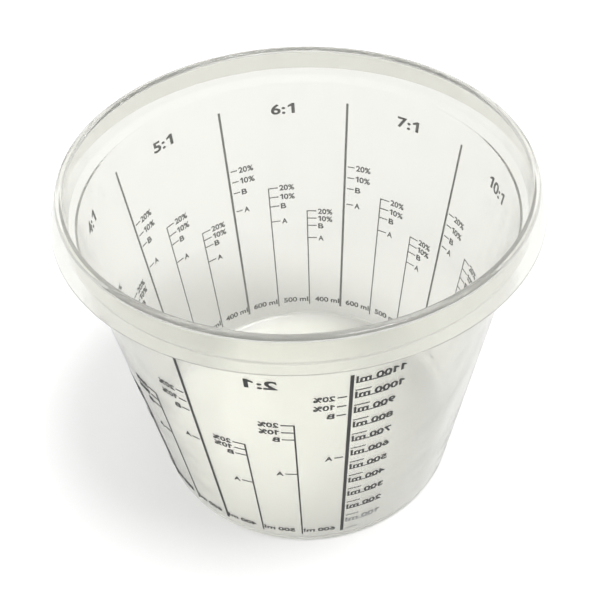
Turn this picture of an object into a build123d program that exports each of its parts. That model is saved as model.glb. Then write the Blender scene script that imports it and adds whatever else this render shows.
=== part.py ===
# Resin mixing cup: one thin tapered moulding with scales printed on its outside.
# The scales are printed in reverse, so that they read correctly from inside the cup.
# Millimetres, +Z up, origin in the middle of the face that the cup stands on.
import os
from math import pi
from build123d import *

# Moulding: base, floor and straight tapered wall
base_radius = 55.5            # outside of the wall, carried down to the face it stands on
wall_top_radius = 68.5        # outside of the wall where the ledge begins
wall_height = 109.0           # height at which the ledge begins
wall_thickness = 1.0          # measured level, outside to inside
floor_thickness = 1.0
floor_corner_cut = 1.3        # inside corner, cut across so that the resin scrapes out
base_corner_cut = 1.0         # outside corner under the wall
foot_width = 5.0              # ring that the cup stands on
foot_height = 0.6             # the middle of the base is lifted by this much
gate_radius = 1.5             # witness of the injection gate, under the middle of the floor
gate_height = 0.3

# Moulding: ledge, collar and rim skirt
ledge_width = 1.9             # the outside steps out by this much
ledge_rise = 2.6              # and slopes up by this much, to the collar
collar_thickness = 1.0
collar_height = 12.5          # from the start of the ledge to the top of the rim
rim_thickness = 1.7           # the web that joins collar and skirt, at the top of the groove
groove_width = 0.85           # open gap between collar and skirt, at its narrow top
skirt_thickness = 0.85        # measured level
skirt_height = 9.9            # from the top of the rim down to the lower edge
skirt_flare = 3.5             # the lower edge stands out by this much
rim_corner_cut = 0.45         # both corners of the rim's flat top

# Printing
millilitre_edge = 10.0        # edge of the cube that holds one millilitre
ink_thickness = 0.08
print_bottom = 6.0            # where every line starts
print_top = 101.2             # where the full-height lines end
volume_line_width = 1.05      # the line that the volume scale and the first column share
heavy_line_width = 0.9        # line of each other column for the largest amount
light_line_width = 0.5        # lines of the other columns
tick_width = 0.45
tick_reach = 3.8              # far end of a tick, from the middle of its line
tick_gap = 0.65               # bare stretch between a heavy line and its ticks
volume_tick_width = 0.35
volume_tick_gap = 0.55
volume_minor_reach = 5.6
volume_major_reach = 10.8

# Layout of the print, in counts and amounts
columns_in_full_turn = 26     # the print leaves a bare strip, so 21 of these are used
first_column_angle = -79.5    # direction of the volume line, in degrees from +X
ratios = [2, 3, 4, 5, 6, 7, 10]
amounts = [600, 500, 400]     # millilitres of the first component
thinner_shares = [0.1, 0.2]   # thinner that may be added, as shares of the first component
volume_step = 50
volume_limit = 1100

taper = (wall_top_radius - base_radius) / wall_height
column_angle = 360 / columns_in_full_turn
millilitre = millilitre_edge**3
floor_top = foot_height + floor_thickness


def outside_radius(height):
    """Radius of the wall's outside at a height."""
    return base_radius + taper * height


def inside_radius(height):
    """Radius of the wall's inside at a height."""
    return outside_radius(height) - wall_thickness


def fill_height(amount):
    """Height of the surface when the cup holds so many millilitres."""
    start = inside_radius(floor_top)
    surface = (start**3 + 3 * taper * amount * millilitre / pi) ** (1 / 3)
    return floor_top + (surface - start) / taper


def facing_wall(angle):
    """Upright plane through the axis, seen as from inside when looking at that part of the wall."""
    return Plane.XZ.rotated((0, 0, angle - 90))


def mark(low, high, left, right):
    """Outline of one printed mark: two heights, and two distances from its column's line."""
    with Locations(((left + right) / 2, (low + high) / 2)):
        Rectangle(right - left, high - low)


def tick(height, width, left, right):
    """A level mark centred on a height, where the print has room for it."""
    low = height - width / 2
    high = height + width / 2
    if low >= print_bottom and high <= print_top:
        mark(low, high, left, right)


os.makedirs("parts", exist_ok=True)

# The moulded cup: its section is drawn once and turned round the axis
wall_top_inside = wall_top_radius - wall_thickness
foot_inner_radius = base_radius - foot_width
ledge_top = wall_height + ledge_rise
collar_outside = wall_top_radius + ledge_width
collar_inside = collar_outside - collar_thickness

# The skirt hangs from the rim: its section is worked out from the top of the groove
cup_height = wall_height + collar_height
skirt_slope = skirt_flare / skirt_height
skirt_bottom = cup_height - skirt_height
groove_top = cup_height - rim_thickness
groove_outside = collar_outside + groove_width
rim_radius = groove_outside + skirt_thickness - skirt_slope * rim_thickness
skirt_radius = rim_radius + skirt_flare

# The small radii that a mould gives its corners are flats here, which keeps the facets few
rim_cut_bottom = cup_height - rim_corner_cut
floor_cut_top = floor_top + floor_corner_cut

with BuildPart() as cup_body:
    with BuildSketch(Plane.XZ):
        with BuildLine():
            Polyline(
                (0, foot_height),
                (foot_inner_radius, foot_height),
                (foot_inner_radius + foot_height, 0),
                (base_radius - base_corner_cut, 0),
                (outside_radius(base_corner_cut), base_corner_cut),
                (wall_top_radius, wall_height),
                (collar_outside, ledge_top),
                (collar_outside, groove_top),
                (groove_outside, groove_top),
                (skirt_radius - skirt_thickness, skirt_bottom),
                (skirt_radius, skirt_bottom),
                (rim_radius + skirt_slope * rim_corner_cut, rim_cut_bottom),
                (rim_radius - rim_corner_cut, cup_height),
                (collar_inside + rim_corner_cut, cup_height),
                (collar_inside, rim_cut_bottom),
                (collar_inside, ledge_top),
                (wall_top_inside, wall_height),
                (inside_radius(floor_cut_top), floor_cut_top),
                (inside_radius(floor_top) - floor_corner_cut, floor_top),
                (0, floor_top),
                close=True,
            )
        make_face()
    revolve(axis=Axis.Z)
    with BuildSketch(Plane.XY.offset(foot_height)):
        Circle(gate_radius)
    extrude(amount=-gate_height)
cup_body.part.label = "cup_body"
export_step(cup_body.part, "parts/cup_body.step")

# A skin of ink over the whole wall: each column is the part of it behind that column's outline
with BuildPart() as ink_skin:
    with BuildSketch(Plane.XZ):
        with BuildLine():
            Polyline(
                (base_radius, 0),
                (base_radius + ink_thickness, 0),
                (wall_top_radius + ink_thickness, wall_height),
                (wall_top_radius, wall_height),
                close=True,
            )
        make_face()
    revolve(axis=Axis.Z)

# The mixing scales: a column for each amount of the first component in each ratio.
# Its ticks are that amount, the amount with the second component, and the thinner additions.
column = 0
for ratio in ratios:
    for amount in amounts:
        angle = first_column_angle - column * column_angle
        mixed = amount * (1 + 1 / ratio)
        fills = [amount, mixed] + [mixed + share * amount for share in thinner_shares]
        full_height = amount == amounts[0]
        if column == 0:
            line_width = volume_line_width
        elif full_height:
            line_width = heavy_line_width
        else:
            line_width = light_line_width
        if full_height:
            line_top = print_top
            tick_start = line_width / 2 + tick_gap
        else:
            line_top = min(print_top, fill_height(fills[-1]) + tick_width / 2)
            tick_start = 0
        with BuildPart() as scale:
            with BuildSketch(facing_wall(angle)):
                mark(print_bottom, line_top, -line_width / 2, line_width / 2)
                for fill in fills:
                    tick(fill_height(fill), tick_width, tick_start, tick_reach)
            extrude(amount=-skirt_radius)
            add(ink_skin.part, mode=Mode.INTERSECT)
        name = f"mix_{ratio}_to_1_{amount}_ml"
        scale.part.label = name
        export_step(scale.part, f"parts/{name}.step")
        column = column + 1

# The volume scale, on the other side of the first column's line
tick_end = -(volume_line_width / 2 + volume_tick_gap)
with BuildPart() as volume_scale:
    with BuildSketch(facing_wall(first_column_angle)):
        for fill in range(volume_step, volume_limit + volume_step, volume_step):
            reach = volume_minor_reach if fill % (2 * volume_step) else volume_major_reach
            tick(fill_height(fill), volume_tick_width, -reach, tick_end)
    extrude(amount=-skirt_radius)
    add(ink_skin.part, mode=Mode.INTERSECT)
volume_scale.part.label = "volume_scale"
export_step(volume_scale.part, "parts/volume_scale.step")
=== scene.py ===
import math
import bpy
from mathutils import Matrix, Vector


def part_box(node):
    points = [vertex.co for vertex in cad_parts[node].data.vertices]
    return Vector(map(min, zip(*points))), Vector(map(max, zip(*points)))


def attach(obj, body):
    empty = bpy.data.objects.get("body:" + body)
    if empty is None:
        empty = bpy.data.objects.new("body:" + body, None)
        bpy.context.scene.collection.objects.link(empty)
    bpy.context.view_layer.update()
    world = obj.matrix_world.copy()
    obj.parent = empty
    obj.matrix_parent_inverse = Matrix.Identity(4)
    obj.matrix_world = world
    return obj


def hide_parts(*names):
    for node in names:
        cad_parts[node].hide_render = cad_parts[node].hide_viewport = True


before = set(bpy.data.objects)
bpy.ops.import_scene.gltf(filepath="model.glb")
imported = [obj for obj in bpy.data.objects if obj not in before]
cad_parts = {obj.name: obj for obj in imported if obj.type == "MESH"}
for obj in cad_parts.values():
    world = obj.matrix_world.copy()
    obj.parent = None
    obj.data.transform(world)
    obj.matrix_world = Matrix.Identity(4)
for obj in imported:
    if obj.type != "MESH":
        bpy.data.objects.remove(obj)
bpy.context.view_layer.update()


# The cup body: one injection moulding in natural polypropylene, about a millimetre thick.
# Floor, tapered wall, ledge, collar and skirted rim come out of the mould as one skin, so it
# is one closed section turned round the axis, with the small radii that the mould gives it.
mm = 0.001
base_radius = 55.5 * mm
wall_top_radius = 68.5 * mm
wall_height = 109.0 * mm
wall_thickness = 1.0 * mm
floor_thickness = 1.0 * mm
floor_corner_radius = 2.2 * mm
base_corner_radius = 1.6 * mm
foot_width = 5.0 * mm
foot_height = 0.6 * mm
foot_corner_radius = 0.3 * mm
gate_radius = 1.5 * mm
gate_height = 0.3 * mm
gate_corner_radius = 0.1 * mm
ledge_width = 1.9 * mm
ledge_rise = 2.6 * mm
ledge_corner_radius = 0.7 * mm
collar_thickness = 1.0 * mm
rim_thickness = 1.7 * mm
rim_corner_radius = 0.8 * mm
groove_width = 0.85 * mm
groove_corner_radius = 0.15 * mm
skirt_thickness = 0.85 * mm
skirt_height = 9.9 * mm
skirt_flare = 3.5 * mm
skirt_corner_radius = 0.25 * mm
steps_round_corner = 6
steps_round_cup = 240

cup_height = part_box("cup_body")[1].z
taper = (wall_top_radius - base_radius) / wall_height
floor_top = foot_height + floor_thickness
ledge_top = wall_height + ledge_rise
collar_outside = wall_top_radius + ledge_width
collar_inside = collar_outside - collar_thickness
skirt_slope = skirt_flare / skirt_height
skirt_bottom = cup_height - skirt_height
groove_top = cup_height - rim_thickness
groove_outside = collar_outside + groove_width
rim_radius = groove_outside + skirt_thickness - skirt_slope * rim_thickness
skirt_radius = rim_radius + skirt_flare


def wall_outside(height):
    """Radius of the wall's outside at a height."""
    return base_radius + taper * height


def rounded(start, corners, end):
    """Points of a section whose corners, each (radius, height, rounding), are arcs."""
    places = [Vector(start)] + [Vector(corner[:2]) for corner in corners] + [Vector(end)]
    points = [places[0]]
    for number, (_, _, rounding) in enumerate(corners, start=1):
        corner = places[number]
        before = (places[number - 1] - corner).normalized()
        after = (places[number + 1] - corner).normalized()
        half_angle = before.angle(after) / 2
        centre = corner + (before + after).normalized() * rounding / math.sin(half_angle)
        first = corner + before * rounding / math.tan(half_angle) - centre
        last = corner + after * rounding / math.tan(half_angle) - centre
        for step in range(steps_round_corner + 1):
            direction = first.slerp(last, step / steps_round_corner)
            points.append(centre + direction * rounding)
    return points + [places[-1]]


def turned(name, section):
    """A mesh made by turning a section, which starts and ends on the axis, round the axis."""
    rings = section[1:-1]
    points = [(0, 0, section[0].y), (0, 0, section[-1].y)]
    for turn in range(steps_round_cup):
        angle = math.tau * turn / steps_round_cup
        points += [(ring.x * math.cos(angle), ring.x * math.sin(angle), ring.y) for ring in rings]
    faces = []
    for turn in range(steps_round_cup):
        here = 2 + turn * len(rings)
        there = 2 + (turn + 1) % steps_round_cup * len(rings)
        faces.append((0, there, here))
        faces.append((1, here + len(rings) - 1, there + len(rings) - 1))
        for ring in range(len(rings) - 1):
            faces.append((here + ring, there + ring, there + ring + 1, here + ring + 1))
    mesh = bpy.data.meshes.new(name)
    mesh.from_pydata(points, [], faces)
    mesh.shade_smooth()
    made = bpy.data.objects.new(name, mesh)
    bpy.context.scene.collection.objects.link(made)
    return made


def linear(hex_colour):
    """The linear colour that Blender works in, from an sRGB hex value."""
    shares = [int(hex_colour[place:place + 2], 16) / 255 for place in (1, 3, 5)]
    return [
        share / 12.92 if share <= 0.04045 else ((share + 0.055) / 1.055) ** 2.4
        for share in shares
    ] + [1]


def add_node(tree, kind, inputs, **settings):
    """Adds a node. An input takes a value, or the output of another node to link it from."""
    made = tree.nodes.new(kind)
    for name, value in settings.items():
        setattr(made, name, value)
    for name, value in inputs.items():
        if isinstance(value, bpy.types.NodeSocket):
            tree.links.new(value, made.inputs[name])
        else:
            made.inputs[name].default_value = value
    return made


# Natural polypropylene from a polished mould: unpigmented, so light passes with a faint warm
# tint, and the fine crystals that form as it cools leave a little milk in it. The melt cools
# unevenly, which gives slow waves and a faint ripple, and the gloss is patchy where the skin
# left the mould. The floor, round the gate, cools slowest, so it is cloudier than the wall.
# It hands the light that falls in at the mouth straight on to the sheet under the cup.
wall_clearness = 0.84
floor_clearness = 0.7
floor_light_passed = "#d1d1d1"
wave_spacing = 15 * mm
wave_depth = 0.35 * mm
ripple_spacing = 1.4 * mm
ripple_depth = 0.01 * mm
relief_share = 0.5
gloss_patch_size = 6 * mm
gloss_patch_low, gloss_patch_high = 0.35, 0.65
glossy_roughness, dull_roughness = 0.05, 0.13


def natural_polypropylene(name, clearness, light_passed=None):
    """The plastic, with the share of light that it lets through and any light it hands on."""
    material = bpy.data.materials.new(name)
    material.use_nodes = True
    tree = material.node_tree
    tree.nodes.clear()
    place = add_node(tree, "ShaderNodeTexCoord", {})
    waves = add_node(tree, "ShaderNodeTexNoise", {
        "Vector": place.outputs["Object"],
        "Scale": 1 / wave_spacing,
        "Detail": 1,
        "Roughness": 0.4,
    })
    ripple = add_node(tree, "ShaderNodeTexNoise", {
        "Vector": place.outputs["Object"],
        "Scale": 1 / ripple_spacing,
        "Detail": 2,
    })
    wavy = add_node(tree, "ShaderNodeBump", {
        "Height": waves.outputs["Fac"],
        "Distance": wave_depth,
        "Strength": relief_share,
    })
    rippled = add_node(tree, "ShaderNodeBump", {
        "Height": ripple.outputs["Fac"],
        "Distance": ripple_depth,
        "Strength": relief_share,
        "Normal": wavy.outputs["Normal"],
    })
    patches = add_node(tree, "ShaderNodeTexNoise", {
        "Vector": place.outputs["Object"],
        "Scale": 1 / gloss_patch_size,
        "Detail": 3,
    })
    gloss = add_node(tree, "ShaderNodeMapRange", {
        "Value": patches.outputs["Fac"],
        "From Min": gloss_patch_low,
        "From Max": gloss_patch_high,
        "To Min": glossy_roughness,
        "To Max": dull_roughness,
    })
    plastic = add_node(tree, "ShaderNodeBsdfPrincipled", {
        "Base Color": linear("#fefef9"),
        "Roughness": gloss.outputs["Result"],
        "IOR": 1.49,
        "Transmission Weight": clearness,
        "Normal": rippled.outputs["Normal"],
    })
    surface = plastic.outputs["BSDF"]
    if light_passed:
        ray = add_node(tree, "ShaderNodeLightPath", {})
        passing = add_node(tree, "ShaderNodeBsdfTransparent", {"Color": linear(light_passed)})
        surface = add_node(tree, "ShaderNodeMixShader", {
            0: ray.outputs["Is Shadow Ray"],
            1: surface,
            2: passing.outputs["BSDF"],
        }).outputs["Shader"]
    add_node(tree, "ShaderNodeOutputMaterial", {"Surface": surface})
    return material


cup = turned("cup_moulding", rounded(
    (0, foot_height - gate_height),
    [
        (gate_radius, foot_height - gate_height, gate_corner_radius),
        (gate_radius, foot_height, gate_corner_radius),
        (base_radius - foot_width, foot_height, foot_corner_radius),
        (base_radius - foot_width + foot_height, 0, foot_corner_radius),
        (base_radius, 0, base_corner_radius),
        (wall_top_radius, wall_height, ledge_corner_radius),
        (collar_outside, ledge_top, ledge_corner_radius),
        (collar_outside, groove_top, groove_corner_radius),
        (groove_outside, groove_top, groove_corner_radius),
        (skirt_radius - skirt_thickness, skirt_bottom, skirt_corner_radius),
        (skirt_radius, skirt_bottom, skirt_corner_radius),
        (rim_radius, cup_height, rim_corner_radius),
        (collar_inside, cup_height, rim_corner_radius),
        (collar_inside, ledge_top, ledge_corner_radius),
        (wall_top_radius - wall_thickness, wall_height, ledge_corner_radius),
        (wall_outside(floor_top) - wall_thickness, floor_top, floor_corner_radius),
    ],
    (0, floor_top),
))
cup.data.materials.append(natural_polypropylene("natural_polypropylene_wall", wall_clearness))
cup.data.materials.append(
    natural_polypropylene("natural_polypropylene_floor", floor_clearness, floor_light_passed)
)
for face in cup.data.polygons:
    low_down = face.center.z < floor_top + floor_corner_radius
    if low_down and face.center.xy.length < base_radius - wall_thickness:
        face.material_index = 1
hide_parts("cup_body")
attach(cup, "root")


# The printed scales: lines and ticks in black ink, screen printed on the outside of the wall
# in one pass while the cup turns under the screen. They are the solids from model.glb.
thread_spacing = 0.5 * mm
thread_depth = 0.01 * mm
satin_roughness, dry_roughness = 0.35, 0.6
thin_ink_height = 11 * mm
full_ink_height = 20 * mm


# Black screen ink, cured to a satin: near black, a little uneven where the screen's threads
# were, drawn coarser here than the real 0.1 mm so that it shows. Near the base the squeegee
# lifts off the volume scale, and there the ink is thin and grey.
def screen_ink(name, thins_out):
    """The ink, all over or thinning out towards the base."""
    material = bpy.data.materials.new(name)
    material.use_nodes = True
    tree = material.node_tree
    tree.nodes.clear()
    place = add_node(tree, "ShaderNodeTexCoord", {})
    threads = add_node(tree, "ShaderNodeTexNoise", {
        "Vector": place.outputs["Object"],
        "Scale": 1 / thread_spacing,
        "Detail": 2,
    })
    colour = add_node(tree, "ShaderNodeMix", {
        "Factor": threads.outputs["Fac"],
        "A": linear("#08090b"),
        "B": linear("#1c1d20"),
    }, data_type="RGBA").outputs["Result"]
    if thins_out:
        height = add_node(tree, "ShaderNodeSeparateXYZ", {"Vector": place.outputs["Object"]})
        cover = add_node(tree, "ShaderNodeMapRange", {
            "Value": height.outputs["Z"],
            "From Min": thin_ink_height,
            "From Max": full_ink_height,
        })
        colour = add_node(tree, "ShaderNodeMix", {
            "Factor": cover.outputs["Result"],
            "A": linear("#a3a5a4"),
            "B": colour,
        }, data_type="RGBA").outputs["Result"]
    satin = add_node(tree, "ShaderNodeMapRange", {
        "Value": threads.outputs["Fac"],
        "To Min": satin_roughness,
        "To Max": dry_roughness,
    })
    grain = add_node(tree, "ShaderNodeBump", {
        "Height": threads.outputs["Fac"],
        "Distance": thread_depth,
    })
    ink = add_node(tree, "ShaderNodeBsdfPrincipled", {
        "Base Color": colour,
        "Roughness": satin.outputs["Result"],
        "Normal": grain.outputs["Normal"],
    })
    add_node(tree, "ShaderNodeOutputMaterial", {"Surface": ink.outputs["BSDF"]})
    return material


black_ink = screen_ink("black_screen_ink", thins_out=False)
thinning_ink = screen_ink("thinning_screen_ink", thins_out=True)
for name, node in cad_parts.items():
    if name != "cup_body":
        node.data.materials.clear()
        node.data.materials.append(thinning_ink if name == "volume_scale" else black_ink)


# The figures and letters beside the ticks: a bold sans serif, printed in the same pass and in
# the same ink. They are printed in reverse, so that they read correctly from inside the cup.
columns_in_full_turn = 26
first_column_angle = math.radians(-79.5)
ratios = [2, 3, 4, 5, 6, 7, 10]
amounts = [600, 500, 400]
thinner_shares = [0.1, 0.2]
volume_step = 100
volume_limit = 1100
ink_sunk = 0.02 * mm
ink_raised = 0.06 * mm
letter_height = 2.45 * mm
letter_width = 2.2 * mm
percent_width = 5.9 * mm
letter_gap = 4.4 * mm
amount_height = 2.5 * mm
amount_width = 10.6 * mm
amount_gap = 2.4 * mm
amount_baseline = 7.7 * mm
title_height = 4.0 * mm
title_digit_width = 3.0 * mm
title_baseline = 96.7 * mm
volume_height = 2.9 * mm
volume_gap = 1.1 * mm
volume_lift = 0.15 * mm
volume_digit_width = 2.1 * mm
volume_unit_width = 5.9 * mm

# The boldness, each character's room and the outline of the 1 are shares of the figures' height
font_figure_height = 0.74
boldness_share = 0.027
figure_room_share = 0.68
room_shares = {"%": 0.98, "A": 1.0, "B": 1.0, ":": 0.34, "m": 1.1, "l": 0.3, " ": 0.3}
one_outline_shares = [
    (0.56, 0),
    (0.56, 1),
    (0.38, 1),
    (0.1, 0.78),
    (0.1, 0.6),
    (0.34, 0.72),
    (0.34, 0),
]


def fill_height(millilitres):
    """Height of the surface when the cup holds so much."""
    volume = millilitres * (10 * mm) ** 3
    start = wall_outside(floor_top) - wall_thickness
    surface = (start**3 + 3 * taper * volume / math.pi) ** (1 / 3)
    return floor_top + (surface - start) / taper


def character_shape(character):
    """Points and faces of one flat character, in shares of the height of the figures."""
    if character == "1":
        return one_outline_shares, [range(len(one_outline_shares))]
    if character == "9":
        points, faces = character_shape("6")
        return [(-x, 1 - y) for x, y in points], faces
    curve = bpy.data.curves.new("character", "FONT")
    curve.body = character
    curve.offset = boldness_share
    flat = bpy.data.objects.new("character", curve)
    bpy.context.scene.collection.objects.link(flat)
    graph = bpy.context.evaluated_depsgraph_get()
    mesh = bpy.data.meshes.new_from_object(flat.evaluated_get(graph))
    bpy.data.objects.remove(flat)
    points = [tuple(point.co.xy / font_figure_height) for point in mesh.vertices]
    return points, [tuple(face.vertices) for face in mesh.polygons]


character_shapes = {character: character_shape(character) for character in "1234567890AB%:ml"}


def lettering(name, words, angle, left, baseline, width, height, ink):
    """Words printed on the wall, as read from inside: a box beside the line at that angle."""
    points = []
    faces = []
    reached = 0
    for character in words:
        room = room_shares.get(character, figure_room_share)
        if character != " ":
            outline, outline_faces = character_shapes[character]
            sides = [x for x, _ in outline]
            shift = reached + room / 2 - (min(sides) + max(sides)) / 2
            faces += [[len(points) + corner for corner in face] for face in outline_faces]
            points += [(x + shift, y) for x, y in outline]
        reached = reached + room
    start = min(x for x, _ in points)
    end = max(x for x, _ in points)
    placed = []
    for x, y in points:
        across = left + (x - start) / (end - start) * width
        rise = baseline + y * height
        radius = wall_outside(rise) - ink_sunk
        turn = angle - math.asin(across / radius)
        placed.append((radius * math.cos(turn), radius * math.sin(turn), rise))
    mesh = bpy.data.meshes.new(name)
    mesh.from_pydata(placed, [], faces)
    mesh.materials.append(ink)
    made = bpy.data.objects.new(name, mesh)
    bpy.context.scene.collection.objects.link(made)
    skin = made.modifiers.new("ink", "SOLIDIFY")
    skin.thickness = ink_sunk + ink_raised
    skin.offset = -1
    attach(made, "root")


column = 0
for ratio in ratios:
    for amount in amounts:
        angle = first_column_angle - column * math.tau / columns_in_full_turn
        mixed = amount * (1 + 1 / ratio)
        marks = {"A": amount, "B": mixed}
        for share in thinner_shares:
            marks[f"{share:.0%}"] = mixed + share * amount
        for words, fill in marks.items():
            baseline = fill_height(fill) - letter_height / 2
            width = percent_width if "%" in words else letter_width
            lettering(
                f"figure_{ratio}_to_1_{amount}_{words.replace('%', '_percent')}", words, angle,
                letter_gap, baseline, width, letter_height, black_ink,
            )
        lettering(
            f"figure_{ratio}_to_1_{amount}_ml", f"{amount} ml", angle,
            amount_gap, amount_baseline, amount_width, amount_height, black_ink,
        )
        column = column + 1
    panel_middle = column - len(amounts) / 2
    middle = first_column_angle - panel_middle * math.tau / columns_in_full_turn
    title = f"{ratio}:1"
    width = title_digit_width * len(title)
    lettering(
        f"title_{ratio}_to_1", title, middle,
        -width / 2, title_baseline, width, title_height, black_ink,
    )

for fill in range(volume_step, volume_limit + volume_step, volume_step):
    width = volume_unit_width + volume_digit_width * len(str(fill))
    lettering(
        f"figure_volume_{fill}", f"{fill} ml", first_column_angle,
        -volume_gap - width, fill_height(fill) + volume_lift, width, volume_height, thinning_ink,
    )


# The bench under the cup: a sheet of white paper, which is not part of the cup.
# To the eye, and a little through the plastic, it is lifted, so that it is pure white away from
# the cup and keeps the soft shadow beside it.
sheet_size = 3.0
sheet_lift = 0.15
sheet_lift_through_plastic = 0.03

sheet_mesh = bpy.data.meshes.new("white_sheet")
half = sheet_size / 2
sheet_mesh.from_pydata(
    [(-half, -half, 0), (half, -half, 0), (half, half, 0), (-half, half, 0)], [], [(0, 1, 2, 3)]
)
sheet = bpy.data.objects.new("white_sheet", sheet_mesh)
bpy.context.scene.collection.objects.link(sheet)


# Uncoated paper: matt white.
def white_paper():
    """The sheet's material, with the lift that the camera and the plastic see."""
    material = bpy.data.materials.new("white_paper")
    material.use_nodes = True
    tree = material.node_tree
    tree.nodes.clear()
    ray = add_node(tree, "ShaderNodeLightPath", {})
    indirect = add_node(tree, "ShaderNodeMath", {
        0: ray.outputs["Is Transmission Ray"],
        1: ray.outputs["Is Glossy Ray"],
    }, operation="MAXIMUM")
    indirect_lift = add_node(tree, "ShaderNodeMath", {
        0: indirect.outputs["Value"],
        1: sheet_lift_through_plastic,
    }, operation="MULTIPLY")
    lift = add_node(tree, "ShaderNodeMath", {
        0: ray.outputs["Is Camera Ray"],
        1: sheet_lift,
        2: indirect_lift.outputs["Value"],
    }, operation="MULTIPLY_ADD")
    paper = add_node(tree, "ShaderNodeBsdfPrincipled", {
        "Base Color": linear("#fbfbfb"),
        "Roughness": 0.9,
        "Specular IOR Level": 0.0,
        "Emission Color": linear("#ffffff"),
        "Emission Strength": lift.outputs["Value"],
    })
    add_node(tree, "ShaderNodeOutputMaterial", {"Surface": paper.outputs["BSDF"]})
    return material


sheet_mesh.materials.append(white_paper())


# The light: a white room, and one soft lamp high up, a little to the right and to the front.
# The lamp throws the pale shadow to the left of the cup and lights its floor.
room_strength = 0.74
background_strength = 1.0
lamp_strength = 1.25
lamp_spread = math.radians(20)
lamp_direction = Vector((0.28, -0.1, 0.96))

world = bpy.data.worlds.new("white_room")
bpy.context.scene.world = world
world.use_nodes = True
world.node_tree.nodes.clear()
seen = add_node(world.node_tree, "ShaderNodeLightPath", {})
strength = add_node(world.node_tree, "ShaderNodeMix", {
    "Factor": seen.outputs["Is Camera Ray"],
    "A": room_strength,
    "B": background_strength,
})
room = add_node(world.node_tree, "ShaderNodeBackground", {
    "Color": linear("#ffffff"),
    "Strength": strength.outputs["Result"],
})
add_node(world.node_tree, "ShaderNodeOutputWorld", {"Surface": room.outputs["Background"]})

lamp_data = bpy.data.lights.new("soft_lamp", "SUN")
lamp_data.energy = lamp_strength
lamp_data.angle = lamp_spread
lamp = bpy.data.objects.new("soft_lamp", lamp_data)
bpy.context.scene.collection.objects.link(lamp)
lamp.rotation_euler = (-lamp_direction).to_track_quat("-Z", "Y").to_euler()


# The viewpoint: from in front and above, looking down into the cup at a little over 40 degrees.
# It was worked out from the rim, ledge and base ellipses and from the printed scales.
image_size = 600
focal_pixels = 860.2
optical_axis_pixel = (301.4, 284.2)
camera_place = Vector((0, -211.6, 273.1)) * mm
camera_pitch = math.radians(43.64)
camera_roll = -0.0427
sensor_width = 36
nearest_seen = 10 * mm

camera_data = bpy.data.cameras.new("view")
camera_data.sensor_width = sensor_width
camera_data.lens = focal_pixels / image_size * sensor_width
camera_data.shift_x = (image_size / 2 - optical_axis_pixel[0]) / image_size
camera_data.shift_y = (optical_axis_pixel[1] - image_size / 2) / image_size
camera_data.clip_start = nearest_seen
camera = bpy.data.objects.new("view", camera_data)
bpy.context.scene.collection.objects.link(camera)
bpy.context.scene.camera = camera

forward = Vector((0, math.cos(camera_pitch), -math.sin(camera_pitch)))
level_right = Vector((1, 0, 0))
level_up = level_right.cross(forward)
right = math.cos(camera_roll) * level_right + math.sin(camera_roll) * level_up
up = math.cos(camera_roll) * level_up - math.sin(camera_roll) * level_right
turned_view = Matrix((right, up, -forward)).transposed().to_4x4()
camera.matrix_world = Matrix.Translation(camera_place) @ turned_view

bpy.context.scene.view_settings.view_transform = "Standard"

# Light crosses wall, collar and skirt several times before it leaves the cup, and the plastic
# turns grey where the count of its bounces ends too soon.
bounces = bpy.context.scene.cycles
bounces.max_bounces = 32
bounces.transmission_bounces = 24
bounces.glossy_bounces = 16
bounces.diffuse_bounces = 12
